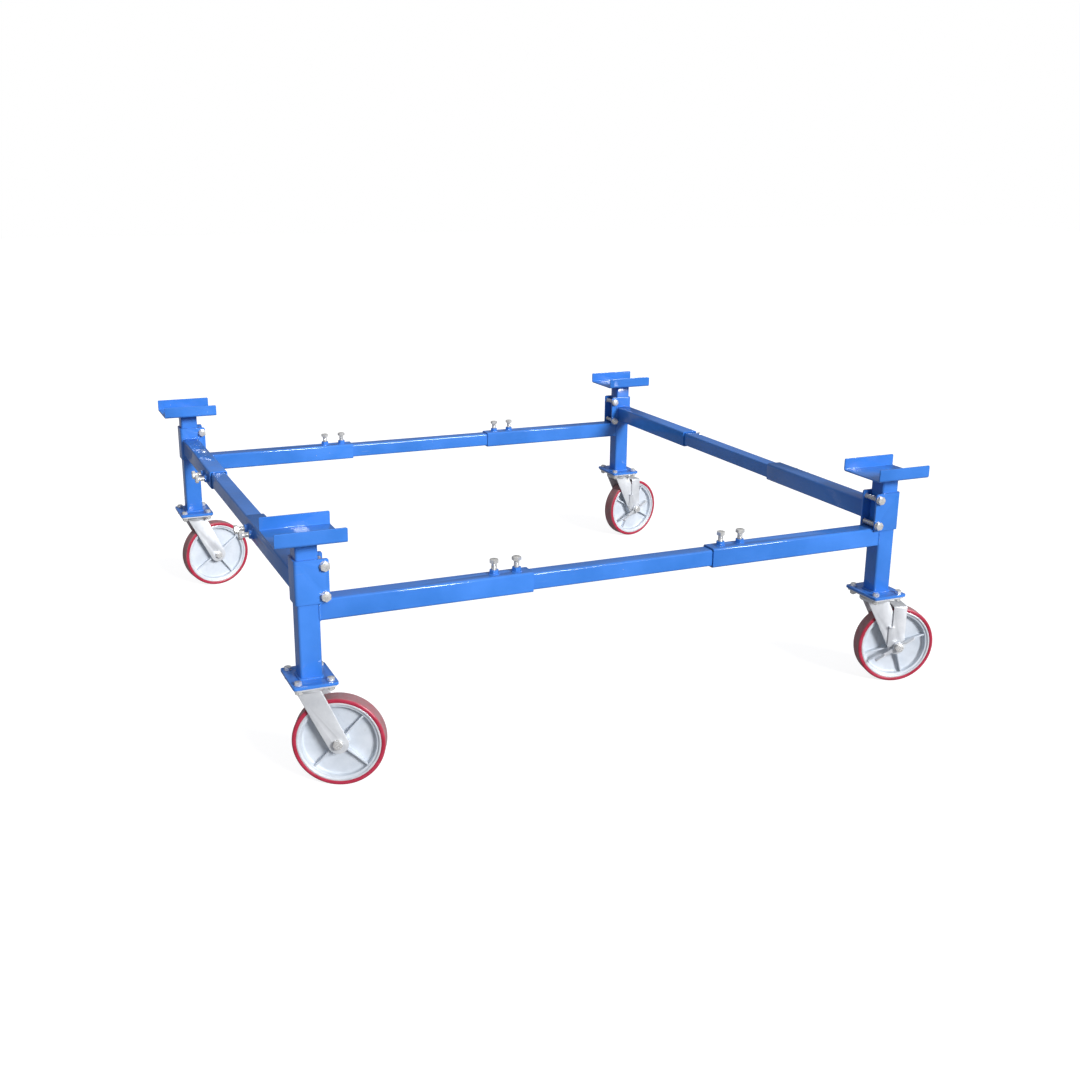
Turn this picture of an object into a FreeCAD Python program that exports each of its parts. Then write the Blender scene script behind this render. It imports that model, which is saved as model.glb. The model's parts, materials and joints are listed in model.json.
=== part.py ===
"""A rolling support frame that adjusts in both directions.

Four identical corner posts stand on swivel casters and carry a channel-shaped saddle each.
Telescoping rails join the posts: the front and rear rails run along X at a lower level, the
left and right rails run along Y at a higher level.  Lengths are in mm and +Z is up.
"""
import math
import os

import FreeCAD
import Part

# ---------------------------------------------------------------- driving dimensions
POST_SPACING_X = 1866.0
POST_SPACING_Y = 1818.0

TUBE_SIDE = 60.0
TUBE_WALL = 4.0
TUBE_CORNER = 7.0
INNER_TUBE_GAP = 1.0
INNER_TUBE_WALL = 3.5
SLEEVE_X_LENGTH = 610.0
SLEEVE_Y_LENGTH = 575.0
TUBE_OVERLAP = 300.0

X_RAIL_LEVEL = 188.0
LEVEL_GAP = 11.0
POST_ABOVE_BRACKET = 53.0

BASE_PLATE_THICKNESS = 8.0
BASE_PLATE_CORNER = 8.0
PLATE_BOLT_FROM_POST = 14.0
PLATE_BOLTS_Y = 115.0
PLATE_EDGE_X = 17.0
PLATE_EDGE_Y = 20.5
CASTER_PLATE_INSET = 4.0
CASTER_PLATE_THICKNESS = 6.0

BRACKET_THICKNESS = 6.0
BRACKET_BEND = 9.0
BRACKET_CORNER = 6.0
BRACKET_BELOW_RAIL = 20.0
BRACKET_ABOVE_RAIL = 41.0
CLAMP_BOLT_FROM_TOP = 19.0
CLAMP_BOLT_BELOW_RAIL = 1.0
CLAMP_BOLT_FROM_EDGE = 12.0

SADDLE_X = 190.0
SADDLE_Y = 180.0
SADDLE_HEIGHT = 40.0
SADDLE_THICKNESS = 5.0
SADDLE_INNER_BEND = 3.0
SADDLE_CORNER = 4.0

LOCK_BOLT_FROM_END = 40.0
LOCK_BOLT_SPACING = 68.0
LOCK_BOLT_STANDOFF = 33.0

PLATE_THREAD = 12.0
CLAMP_THREAD = 16.0
CLAMP_WASHER = 2.5
LOCK_THREAD = 16.0
AXLE_THREAD = 16.0
KINGPIN_THREAD = 20.0

WHEEL_DIAMETER = 254.0
WHEEL_WIDTH = 50.0
TREAD_THICKNESS = 12.0
TREAD_SHOULDER = 5.0
HUB_PROUD = 3.5
HUB_RADIUS = 24.0
CASTER_TRAIL = 75.0
ROOM_OVER_WHEEL = 51.0
FORK_LEG_THICKNESS = 6.0
FORK_LEG_TOP = 70.0
FORK_LEG_END = 29.0

# radial clearance of a turning fit, the gap left between moving faces, a drilled hole's play
RUNNING_FIT = 0.05
MOVING_GAP = 0.4
HOLE_PLAY = 0.5

# corner name: side along X, side along Y, heading of the caster in degrees, first rib, brake
CORNERS = {
    "front_left": (-1, -1, -23.0, 48.0, False),
    "front_right": (1, -1, -17.0, 17.0, True),
    "rear_left": (-1, 1, 10.0, 35.0, False),
    "rear_right": (1, 1, 11.0, 60.0, True),
}

# ---------------------------------------------------------------- levels and derived sizes
AXLE_LEVEL = WHEEL_DIAMETER / 2
CASTER_HEIGHT = WHEEL_DIAMETER + ROOM_OVER_WHEEL
CASTER_PLATE_UNDERSIDE = CASTER_HEIGHT - CASTER_PLATE_THICKNESS
PLATE_TOP = CASTER_HEIGHT + BASE_PLATE_THICKNESS
X_RAIL_CENTRE = PLATE_TOP + X_RAIL_LEVEL
Y_RAIL_CENTRE = X_RAIL_CENTRE + TUBE_SIDE + LEVEL_GAP
BRACKET_BOTTOM = Y_RAIL_CENTRE - TUBE_SIDE / 2 - BRACKET_BELOW_RAIL
BRACKET_TOP = Y_RAIL_CENTRE + TUBE_SIDE / 2 + BRACKET_ABOVE_RAIL
SADDLE_LEVEL = BRACKET_TOP + POST_ABOVE_BRACKET

INNER_SIDE = TUBE_SIDE - 2 * TUBE_WALL - 2 * INNER_TUBE_GAP
BRACKET_OUTSIDE = TUBE_SIDE / 2 + BRACKET_THICKNESS
INNER_X_LENGTH = POST_SPACING_X - TUBE_SIDE - 2 * SLEEVE_X_LENGTH + 2 * TUBE_OVERLAP
INNER_Y_LENGTH = POST_SPACING_Y - 2 * BRACKET_OUTSIDE - 2 * SLEEVE_Y_LENGTH + 2 * TUBE_OVERLAP

PLATE_BOLTS_X = TUBE_SIDE + 2 * PLATE_BOLT_FROM_POST
BASE_PLATE_X = PLATE_BOLTS_X + 2 * PLATE_EDGE_X
BASE_PLATE_Y = PLATE_BOLTS_Y + 2 * PLATE_EDGE_Y

RACE_RADIUS = 45.0
RACE_FLARE = 4.0
RACE_HEIGHT = 7.0
CROWN_RADIUS = RACE_RADIUS + RACE_FLARE
CROWN_HEIGHT = 10.0
CROWN_EDGE = 3.0
CROWN_TOP = CASTER_PLATE_UNDERSIDE - RACE_HEIGHT - MOVING_GAP
CROWN_UNDERSIDE = CROWN_TOP - CROWN_HEIGHT
HUB_LENGTH = WHEEL_WIDTH + 2 * HUB_PROUD
FORK_INSIDE = HUB_LENGTH / 2 + MOVING_GAP
FORK_OUTSIDE = FORK_INSIDE + FORK_LEG_THICKNESS
SPACER_WALL = 4.0
SPACER_RADIUS = AXLE_THREAD / 2 + SPACER_WALL
AXLE_WASHER = 2.0
THREAD_PAST_NUT = 3.0

RIM_RADIUS = WHEEL_DIAMETER / 2 - TREAD_THICKNESS
RIM_INSET = 1.0
RIM_LIP = 7.0
RIM_THICKNESS = 12.0
RIM_STEP = 4.0
WEB_HALF = 5.0
WEB_SLOPE = 4.0
RIB_THICKNESS = 7.0
RIB_BELOW_HUB = 5.0
RIB_BELOW_RIM = 2.0

BRAKE_PLATE = 4.0
BRAKE_ARM_WIDTH = 44.0
BRAKE_TRAVEL = 4.0
BRAKE_TOP_RISE = 11.0
BRAKE_BEND = 6.0
SHOE_HEIGHT = 2.0
SHOE_WIDTH = 40.0
STEP_REACH = 12.0
STEP_HEIGHT = 70.0
STEP_LIP = 8.0
LEVER_FORWARD = 86.0
LEVER_BACKWARD = 58.0
LEVER_WIDTH = 12.0
LEVER_SLOPE = 30.0
LEVER_THICKNESS = 3.5
FOOT_PAD_LENGTH = 34.0
FOOT_PAD_DEPTH = 14.0
LEVER_CORNER = 4.0
CAM_RADIUS = 16.0
CAM_THICKNESS = 8.0

X = FreeCAD.Vector(1, 0, 0)
Y = FreeCAD.Vector(0, 1, 0)
Z = FreeCAD.Vector(0, 0, 1)
ORIGIN = FreeCAD.Vector(0, 0, 0)


def vec(x, y, z):
    return FreeCAD.Vector(x, y, z)


# ---------------------------------------------------------------- fastener proportions
def across_flats(thread):
    return 1.5 * thread


def head_height(thread):
    return 0.625 * thread


def nut_height(thread):
    return 0.8 * thread


def washer_radius(thread):
    return 0.85 * thread


# ---------------------------------------------------------------- basic shapes
def block(x, y, z):
    """A box given by its low and high limit along each axis."""
    size = [high - low for low, high in (x, y, z)]
    return Part.makeBox(*size, vec(x[0], y[0], z[0]))


def rod(radius, start, end):
    """A round bar from one point to another."""
    along = end.sub(start)
    return Part.makeCylinder(radius, along.Length, start, along)


def ring(outer, inner, start, end):
    return rod(outer, start, end).cut(rod(inner, start, end))


def rounded_rectangle(width, height, radius):
    """A closed outline in the XY plane, centred on the origin."""
    box = block((-width / 2, width / 2), (-height / 2, height / 2), (0, 1))
    upright = [edge for edge in box.Edges if abs(edge.BoundBox.ZLength - 1) < 1e-6]
    solid = box.makeFillet(radius, upright)
    bottom = min(solid.Faces, key=lambda face: face.CenterOfMass.z)
    return Part.Face(bottom.OuterWire)


def rounded_plate(width, height, radius, low, high):
    face = rounded_rectangle(width, height, radius)
    face.translate(vec(0, 0, low))
    return face.extrude(vec(0, 0, high - low))


def square_tube(side, wall, length):
    """A square tube standing on the XY plane."""
    outer = rounded_plate(side, side, TUBE_CORNER, 0, length)
    inner = rounded_plate(side - 2 * wall, side - 2 * wall, TUBE_CORNER - wall, 0, length)
    return outer.cut(inner)


def lay_along(shape, direction):
    """Turns a shape that was made along +Z so that it runs along +X or +Y."""
    turned = shape.copy()
    if direction == X:
        turned.rotate(ORIGIN, Y, 90)
    elif direction == Y:
        turned.rotate(ORIGIN, X, -90)
    return turned


def moved(shape, x=0.0, y=0.0, z=0.0):
    copy = shape.copy()
    copy.translate(vec(x, y, z))
    return copy


def hexagon(flats, low, high, bore=0.0):
    """A hexagonal prism along +Z with its top and bottom corners chamfered."""
    corner = flats / math.sqrt(3)
    points = [
        vec(corner * math.cos(math.radians(60 * k)), corner * math.sin(math.radians(60 * k)), low)
        for k in range(7)
    ]
    prism = Part.Face(Part.makePolygon(points)).extrude(vec(0, 0, high - low))
    slope = (corner - flats / 2) * 0.6
    below = corner + high - low - slope
    chamfer = Part.makeCone(below, flats / 2, high - low, vec(0, 0, low))
    prism = prism.common(chamfer)
    if bore:
        prism = prism.cut(rod(bore, vec(0, 0, low - 1), vec(0, 0, high + 1)))
    return prism


def bolt(thread, length):
    """A hexagon bolt along Z: the head's underside is at 0, the shank hangs below it."""
    tip_chamfer = 0.1 * thread
    shank = rod(thread / 2, vec(0, 0, -length + tip_chamfer), vec(0, 0, 0))
    tip = Part.makeCone(thread / 2 - tip_chamfer, thread / 2, tip_chamfer, vec(0, 0, -length))
    head = hexagon(across_flats(thread), 0, head_height(thread))
    return head.fuse([shank, tip]).removeSplitter()


def nut(thread, play=0.0):
    """A hexagon nut standing on the XY plane."""
    return hexagon(across_flats(thread), 0, nut_height(thread), thread / 2 + play)


def washer(thread, thickness=2.5):
    """A plain washer standing on the XY plane."""
    bore = thread / 2 + HOLE_PLAY / 2
    return ring(washer_radius(thread), bore, vec(0, 0, 0), vec(0, 0, thickness))


def bolted_through(thread, grip, washer_thickness=2.5):
    """Bolt, two washers and nut around a grip whose top face is at Z = 0."""
    length = grip + 2 * washer_thickness + nut_height(thread) + THREAD_PAST_NUT
    upper = washer(thread, washer_thickness)
    lower = moved(upper, z=-grip - washer_thickness)
    fastener = moved(bolt(thread, length), z=washer_thickness)
    closing = nut(thread)
    closing.rotate(ORIGIN, X, 180)
    closing.translate(vec(0, 0, -grip - washer_thickness))
    return [fastener, upper, lower, closing]


def filleted(shape, radius, picks):
    """Rounds the edges that picks(edge) chooses."""
    return shape.makeFillet(radius, [edge for edge in shape.Edges if picks(edge)])


# ---------------------------------------------------------------- corner steelwork
# Each piece is made for the front left corner, with the post's axis at the origin of X and Y,
# the neighbouring posts towards +X and +Y, and heights counted from the floor.
def post():
    tube = moved(square_tube(TUBE_SIDE, TUBE_WALL, SADDLE_LEVEL - PLATE_TOP), z=PLATE_TOP)
    plate = rounded_plate(
        BASE_PLATE_X, BASE_PLATE_Y, BASE_PLATE_CORNER, CASTER_HEIGHT, PLATE_TOP
    )
    return [tube, drill_plate(plate)]


def plate_bolt_places():
    return [(sx * PLATE_BOLTS_X / 2, sy * PLATE_BOLTS_Y / 2) for sx in (-1, 1) for sy in (-1, 1)]


def drill_plate(plate):
    """Cuts the four bolt holes shared by the base plate and the caster's top plate."""
    radius = PLATE_THREAD / 2 + HOLE_PLAY
    for x, y in plate_bolt_places():
        plate = plate.cut(rod(radius, vec(x, y, 0), vec(x, y, 2 * CASTER_HEIGHT)))
    return plate


def lock_bolt_places(sleeve_end):
    first = sleeve_end - LOCK_BOLT_FROM_END
    return [first, first - LOCK_BOLT_SPACING]


def sleeve(length):
    """A rail's outer tube along +Z with its two lock bolt holes through the +X wall."""
    tube = square_tube(TUBE_SIDE, TUBE_WALL, length)
    radius = LOCK_THREAD / 2 + HOLE_PLAY
    for z in lock_bolt_places(length):
        tube = tube.cut(rod(radius, vec(0, 0, z), vec(TUBE_SIDE, 0, z)))
    return tube


def sleeve_nuts(length):
    """The two nuts welded over the lock bolt holes of sleeve()."""
    one = lay_along(nut(LOCK_THREAD, RUNNING_FIT), X)
    return [moved(one, x=TUBE_SIDE / 2, z=z) for z in lock_bolt_places(length)]


def lock_bolts(length):
    """The two lock bolts of sleeve(), tightened down to the inner tube."""
    head_underside = TUBE_SIDE / 2 + LOCK_BOLT_STANDOFF
    reach = head_underside - INNER_SIDE / 2 - MOVING_GAP
    one = lay_along(bolt(LOCK_THREAD, reach), X)
    return [moved(one, x=head_underside, z=z) for z in lock_bolt_places(length)]


def as_x_rail(shape):
    """Lays a sleeve's piece along +X from the post's face, lock bolts upwards."""
    laid = shape.copy()
    laid.rotate(ORIGIN, Y, -90)
    laid.rotate(ORIGIN, Z, 180)
    laid.translate(vec(TUBE_SIDE / 2, 0, X_RAIL_CENTRE))
    return laid


def as_y_rail(shape):
    """Lays a sleeve's piece along +Y from the bracket, lock bolts pointing out to -X."""
    laid = shape.copy()
    laid.rotate(ORIGIN, Z, 180)
    laid.rotate(ORIGIN, X, -90)
    laid.translate(vec(0, BRACKET_OUTSIDE, Y_RAIL_CENTRE))
    return laid


def clamp_bolt_levels():
    sleeve_bottom = Y_RAIL_CENTRE - TUBE_SIDE / 2
    return [sleeve_bottom - CLAMP_BOLT_BELOW_RAIL, BRACKET_TOP - CLAMP_BOLT_FROM_TOP]


def clamp_bolt_x():
    """Just far enough out for the inner washers to clear the upper sleeve's side."""
    return TUBE_SIDE / 2 + washer_radius(CLAMP_THREAD) + MOVING_GAP


def bracket():
    """The U-shaped bracket that wraps the post from outside and opens towards +X."""
    outside = BRACKET_OUTSIDE
    open_edge = clamp_bolt_x() + CLAMP_BOLT_FROM_EDGE
    height = (BRACKET_BOTTOM, BRACKET_TOP)
    body = block((-outside, open_edge), (-outside, outside), height)
    body = filleted(body, BRACKET_BEND, lambda edge: is_upright(edge) and edge.CenterOfMass.x < 0)
    body = filleted(body, BRACKET_CORNER, lambda edge: is_open_corner(edge, open_edge))
    through = (BRACKET_BOTTOM - 1, BRACKET_TOP + 1)
    core = rounded_plate(TUBE_SIDE, TUBE_SIDE, TUBE_CORNER, *through)
    opening = block((0, open_edge + 1), (-TUBE_SIDE / 2, TUBE_SIDE / 2), through)
    body = body.cut(core.fuse(opening))
    for level in clamp_bolt_levels():
        start = vec(clamp_bolt_x(), -2 * outside, level)
        body = body.cut(rod(CLAMP_THREAD / 2 + HOLE_PLAY, start, start.add(Y * (4 * outside))))
    return body


def is_upright(edge):
    box = edge.BoundBox
    return box.ZLength > 10 and box.XLength < 1e-6 and box.YLength < 1e-6


def is_open_corner(edge, open_edge):
    """The short edges at the top and bottom of the bracket's open side, running along Y."""
    box = edge.BoundBox
    along_y = box.YLength > 10 and box.XLength < 1e-6 and box.ZLength < 1e-6
    return along_y and abs(box.XMin - open_edge) < 1e-6


def side_arm():
    """Bracket, Y sleeve and the sleeve's two welded nuts."""
    tube = as_y_rail(sleeve(SLEEVE_Y_LENGTH))
    nuts = [as_y_rail(one) for one in sleeve_nuts(SLEEVE_Y_LENGTH)]
    return [bracket(), tube] + nuts


def x_sleeve():
    tube = as_x_rail(sleeve(SLEEVE_X_LENGTH))
    return [tube] + [as_x_rail(one) for one in sleeve_nuts(SLEEVE_X_LENGTH)]


def clamp_fastener():
    """Bolt and washer; the bolt passes the near flange and screws into the far one."""
    length = 2 * BRACKET_OUTSIDE + CLAMP_WASHER
    return [moved(bolt(CLAMP_THREAD, length), z=CLAMP_WASHER), washer(CLAMP_THREAD, CLAMP_WASHER)]


def clamp_bolts(side_y):
    """Two bolts along Y that close the bracket's flanges, heads towards -Y on every corner."""
    pieces = []
    for level in clamp_bolt_levels():
        for piece in clamp_fastener():
            piece.rotate(ORIGIN, X, 90)
            piece.translate(vec(clamp_bolt_x(), -BRACKET_OUTSIDE, level))
            pieces.append(piece if side_y < 0 else piece.mirror(ORIGIN, Y))
    return pieces


def plate_bolts():
    grip = BASE_PLATE_THICKNESS + CASTER_PLATE_THICKNESS
    pieces = []
    for x, y in plate_bolt_places():
        for piece in bolted_through(PLATE_THREAD, grip, washer_thickness=2.0):
            pieces.append(moved(piece, x, y, PLATE_TOP))
    return pieces


def saddle():
    """A channel along X: a floor on the post and an upturned flange on each side."""
    bend = SADDLE_THICKNESS + SADDLE_INNER_BEND
    z = (SADDLE_LEVEL, SADDLE_LEVEL + SADDLE_HEIGHT)
    ends = (-SADDLE_X / 2, SADDLE_X / 2)
    half = SADDLE_Y / 2
    body = block(ends, (-half, half), z)
    body = filleted(body, bend, lambda edge: is_lower_long_edge(edge, z[0]))
    hollow = block(
        (ends[0] - 1, ends[1] + 1),
        (-half + SADDLE_THICKNESS, half - SADDLE_THICKNESS),
        (z[0] + SADDLE_THICKNESS, z[1] + bend),
    )
    floor = z[0] + SADDLE_THICKNESS
    hollow = filleted(hollow, SADDLE_INNER_BEND, lambda edge: is_lower_long_edge(edge, floor))
    body = body.cut(hollow)
    return filleted(body, SADDLE_CORNER, lambda edge: is_flange_corner(edge, z[1]))


def is_lower_long_edge(edge, level):
    box = edge.BoundBox
    return box.XLength > 10 and box.ZLength < 1e-6 and abs(box.ZMin - level) < 1e-6


def is_flange_corner(edge, level):
    """The short edges along Y at the four top corners of the saddle's flanges."""
    box = edge.BoundBox
    across = abs(box.YLength - SADDLE_THICKNESS) < 1e-6 and box.ZLength < 1e-6
    return across and abs(box.ZMin - level) < 1e-6


def inner_tube(length):
    return moved(square_tube(INNER_SIDE, INNER_TUBE_WALL, length), z=-length / 2)


# ---------------------------------------------------------------- casters
# Each caster is made with its kingpin on the Z axis and its wheel trailing towards +X.
def caster_plate():
    """Top plate with its holes, the fixed half of the swivel race, the kingpin and its nut."""
    plate = rounded_plate(
        BASE_PLATE_X - 2 * CASTER_PLATE_INSET,
        BASE_PLATE_Y - 2 * CASTER_PLATE_INSET,
        BASE_PLATE_CORNER,
        CASTER_PLATE_UNDERSIDE,
        CASTER_HEIGHT,
    )
    race_bottom = CASTER_PLATE_UNDERSIDE - RACE_HEIGHT
    race = Part.makeCone(RACE_RADIUS, CROWN_RADIUS, RACE_HEIGHT, vec(0, 0, race_bottom))
    nut_top = CROWN_UNDERSIDE - MOVING_GAP
    pin_end = nut_top - nut_height(KINGPIN_THREAD) - THREAD_PAST_NUT
    pin = rod(KINGPIN_THREAD / 2, vec(0, 0, pin_end), vec(0, 0, race_bottom + 1))
    closing = nut(KINGPIN_THREAD)
    closing.rotate(ORIGIN, X, 180)
    closing.translate(vec(0, 0, nut_top))
    return [drill_plate(plate), race.fuse(pin).removeSplitter(), closing]


def tangent_point(outside, centre, radius, side):
    """Where a line from an outside point touches a circle, all in the XZ plane."""
    dx = outside[0] - centre[0]
    dz = outside[1] - centre[1]
    distance = math.hypot(dx, dz)
    turn = math.acos(radius / distance) * side
    angle = math.atan2(dz, dx) + turn
    return centre[0] + radius * math.cos(angle), centre[1] + radius * math.sin(angle)


def fork_leg(low, high):
    """One inclined leg between two Y values: wide at the crown, rounded about the axle."""
    axle = (CASTER_TRAIL, AXLE_LEVEL)
    back = (-FORK_LEG_TOP / 2, CROWN_UNDERSIDE)
    front = (FORK_LEG_TOP / 2, CROWN_UNDERSIDE)
    back_touch = tangent_point(back, axle, FORK_LEG_END, 1)
    front_touch = tangent_point(front, axle, FORK_LEG_END, -1)
    outline = [vec(p[0], low, p[1]) for p in (back, back_touch, axle, front_touch, front, back)]
    blade = Part.Face(Part.makePolygon(outline)).extrude(vec(0, high - low, 0))
    start = vec(axle[0], low, axle[1])
    end = vec(axle[0], high, axle[1])
    blade = blade.fuse(rod(FORK_LEG_END, start, end)).removeSplitter()
    return blade.cut(rod(AXLE_THREAD / 2 + HOLE_PLAY / 2, start, end))


def fork():
    """The turning half of the swivel race, the crown plate and two legs."""
    lower = vec(0, 0, CROWN_UNDERSIDE)
    upper = vec(0, 0, CROWN_TOP)
    crown = ring(CROWN_RADIUS, KINGPIN_THREAD / 2 + RUNNING_FIT, lower, upper)
    crown = filleted(crown, CROWN_EDGE, lambda edge: is_outer_rim(edge, CROWN_RADIUS, CROWN_TOP))
    legs = [fork_leg(FORK_INSIDE, FORK_OUTSIDE), fork_leg(-FORK_OUTSIDE, -FORK_INSIDE)]
    return [crown] + legs


def is_outer_rim(edge, radius, level):
    box = edge.BoundBox
    return abs(box.XLength - 2 * radius) < 1e-3 and abs(box.ZMin - level) < 1e-6


def at_axle(shape):
    """Moves a wheel piece made about the Y axis through the origin to the axle."""
    return moved(shape, x=CASTER_TRAIL, z=AXLE_LEVEL)


def turned_about_y(points):
    """Spins a closed outline of (radius, y) points about the Y axis."""
    outline = [vec(radius, y, 0) for radius, y in points]
    face = Part.Face(Part.makePolygon(outline + outline[:1]))
    return face.revolve(ORIGIN, Y, 360)


def wheel_core(rib_angle):
    """Rim, thin web, hub and four radial ribs, cast in one piece."""
    half = WHEEL_WIDTH / 2 - RIM_INSET
    bore = SPACER_RADIUS + RUNNING_FIT
    lip = RIM_RADIUS - RIM_LIP
    rim = RIM_RADIUS - RIM_THICKNESS
    side = [
        (bore, HUB_LENGTH / 2),
        (HUB_RADIUS, HUB_LENGTH / 2),
        (HUB_RADIUS + WEB_SLOPE, WEB_HALF),
        (rim - WEB_SLOPE, WEB_HALF),
        (rim, half - RIM_STEP),
        (lip, half - RIM_STEP),
        (lip + 1, half),
        (RIM_RADIUS, half),
    ]
    other_side = [(radius, -y) for radius, y in reversed(side)]
    core = turned_about_y(side + other_side)
    core = core.fuse([rib(rib_angle + 90 * k) for k in range(4)]).removeSplitter()
    return at_axle(core)


def rib(angle):
    """One rib across both faces of the web, tapering from the hub out to the rim."""
    near = (HUB_RADIUS - 2, HUB_LENGTH / 2 - RIB_BELOW_HUB)
    far = (RIM_RADIUS - RIM_THICKNESS + 1, WHEEL_WIDTH / 2 - RIM_INSET - RIM_STEP - RIB_BELOW_RIM)
    points = [near, far, (far[0], -far[1]), (near[0], -near[1])]
    outline = [vec(x, y, -RIB_THICKNESS / 2) for x, y in points + points[:1]]
    bar = Part.Face(Part.makePolygon(outline)).extrude(vec(0, 0, RIB_THICKNESS))
    bar.rotate(ORIGIN, Y, -angle)
    return bar


def tread():
    """The polyurethane band bonded to the rim, with rounded shoulders."""
    half = WHEEL_WIDTH / 2
    outer = WHEEL_DIAMETER / 2
    band = ring(outer, RIM_RADIUS, vec(0, -half, 0), vec(0, half, 0))
    shoulders = [edge for edge in band.Edges if abs(edge.BoundBox.XLength - 2 * outer) < 1e-3]
    shoulders = [edge for edge in shoulders if edge.BoundBox.YLength < 1e-6]
    return at_axle(band.makeFillet(TREAD_SHOULDER, shoulders))


def near_stack(has_brake):
    """How far the axle's near end stands out beyond the fork's near leg."""
    if has_brake:
        return BRAKE_PLATE + CAM_THICKNESS + 3 * MOVING_GAP
    return 0.0


def axle(has_brake):
    """Axle bolt, two washers, nut and the spacer tube that the hub turns on."""
    near = -FORK_OUTSIDE - near_stack(has_brake)
    grip = FORK_OUTSIDE - near
    pieces = []
    for piece in bolted_through(AXLE_THREAD, grip, washer_thickness=AXLE_WASHER):
        piece.rotate(ORIGIN, X, 90)
        pieces.append(at_axle(moved(piece, y=near)))
    spacer = ring(
        SPACER_RADIUS, AXLE_THREAD / 2, vec(0, -FORK_INSIDE, 0), vec(0, FORK_INSIDE, 0)
    )
    return pieces + [at_axle(spacer)]


def brake_arm():
    """Slotted plate beside the fork that folds over the wheel and carries the shoe."""
    back = -FORK_OUTSIDE - MOVING_GAP
    front = back - BRAKE_PLATE
    top = WHEEL_DIAMETER / 2 + BRAKE_TOP_RISE
    half = BRAKE_ARM_WIDTH / 2
    plate = block((-half, half), (front, back), (0, top))
    fold = block((-half, half), (front, SHOE_WIDTH / 2), (top - BRAKE_PLATE, top))
    bent = plate.fuse(fold).removeSplitter()
    bent = filleted(bent, BRAKE_BEND, lambda edge: is_bend(edge, front, top))
    foot = rod(half, vec(0, front, 0), vec(0, back, 0))
    arm = bent.fuse([foot, brake_shoe(top - BRAKE_PLATE)] + stepped_side(front, back, -half))
    return [at_axle(arm.cut(slot(front - 1, back + 1)).removeSplitter())]


def is_bend(edge, front, top):
    """The edge along X where the brake arm's plate turns over the wheel."""
    box = edge.BoundBox
    flat = box.YLength < 1e-6 and box.ZLength < 1e-6
    return flat and abs(box.YMin - front) < 1e-6 and abs(box.ZMin - top) < 1e-6


def brake_shoe(top):
    """The block under the fold that presses on the tread."""
    half = BRAKE_ARM_WIDTH / 2
    return block((-half, half), (-SHOE_WIDTH / 2, SHOE_WIDTH / 2), (top - SHOE_HEIGHT, top))


def stepped_side(front, back, edge):
    """The arm's lower half reaches further back, with its top edge folded outwards."""
    width = (edge - STEP_REACH, edge + BRAKE_PLATE)
    side = block(width, (front, back), (0, STEP_HEIGHT))
    lip = block(width, (front - STEP_LIP, front), (STEP_HEIGHT - BRAKE_PLATE, STEP_HEIGHT))
    return [side, lip]


def slot(low, high):
    """The upright slot that lets the brake arm slide on the axle."""
    radius = AXLE_THREAD / 2 + HOLE_PLAY
    end = BRAKE_TRAVEL + 1.0
    bottom = rod(radius, vec(0, low, 0), vec(0, high, 0))
    top = moved(bottom, z=end)
    return bottom.fuse([top, block((-radius, radius), (low, high), (0, end))])


def brake_lever():
    """A cam on the axle with a bar to each side that ends in a foot pad."""
    back = -FORK_OUTSIDE - BRAKE_PLATE - 2 * MOVING_GAP
    front = back - CAM_THICKNESS
    cam = rod(CAM_RADIUS, vec(0, front, 0), vec(0, back, 0))
    half = LEVER_WIDTH / 2
    ends = (-LEVER_FORWARD, LEVER_BACKWARD)
    bar = block(ends, (front, front + LEVER_THICKNESS), (-half, half))
    pads = [foot_pad(end, front, half) for end in ends]
    body = cam.fuse([bar] + pads).removeSplitter()
    body = body.cut(rod(AXLE_THREAD / 2 + RUNNING_FIT, vec(0, front - 1, 0), vec(0, back + 1, 0)))
    body.rotate(ORIGIN, Y, -LEVER_SLOPE)
    return [at_axle(body)]


def foot_pad(end, front, top):
    """A plate turned out from the upper edge of the bar's end, its free corners rounded."""
    inner = end - math.copysign(FOOT_PAD_LENGTH, end)
    outer = front - FOOT_PAD_DEPTH
    along = (min(inner, end), max(inner, end))
    pad = block(along, (outer, front + LEVER_THICKNESS), (top - LEVER_THICKNESS, top))
    return filleted(pad, LEVER_CORNER, lambda edge: is_pad_corner(edge, outer))


def is_pad_corner(edge, outer):
    box = edge.BoundBox
    return box.ZLength > 1 and box.XLength < 1e-6 and abs(box.YMax - outer) < 1e-6


# ---------------------------------------------------------------- putting it together
def set_at_corner(shape, side_x, side_y):
    """Mirrors a corner piece for its side of the frame and moves it to its post."""
    placed = shape.copy()
    if side_x > 0:
        placed = placed.mirror(ORIGIN, X)
    if side_y > 0:
        placed = placed.mirror(ORIGIN, Y)
    placed.translate(vec(side_x * POST_SPACING_X / 2, side_y * POST_SPACING_Y / 2, 0))
    return placed


def swivelled(shape, heading, side_x, side_y):
    """Turns a caster piece about its kingpin and moves it under its post."""
    placed = shape.copy()
    placed.rotate(ORIGIN, Z, heading)
    placed.translate(vec(side_x * POST_SPACING_X / 2, side_y * POST_SPACING_Y / 2, 0))
    return placed


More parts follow.
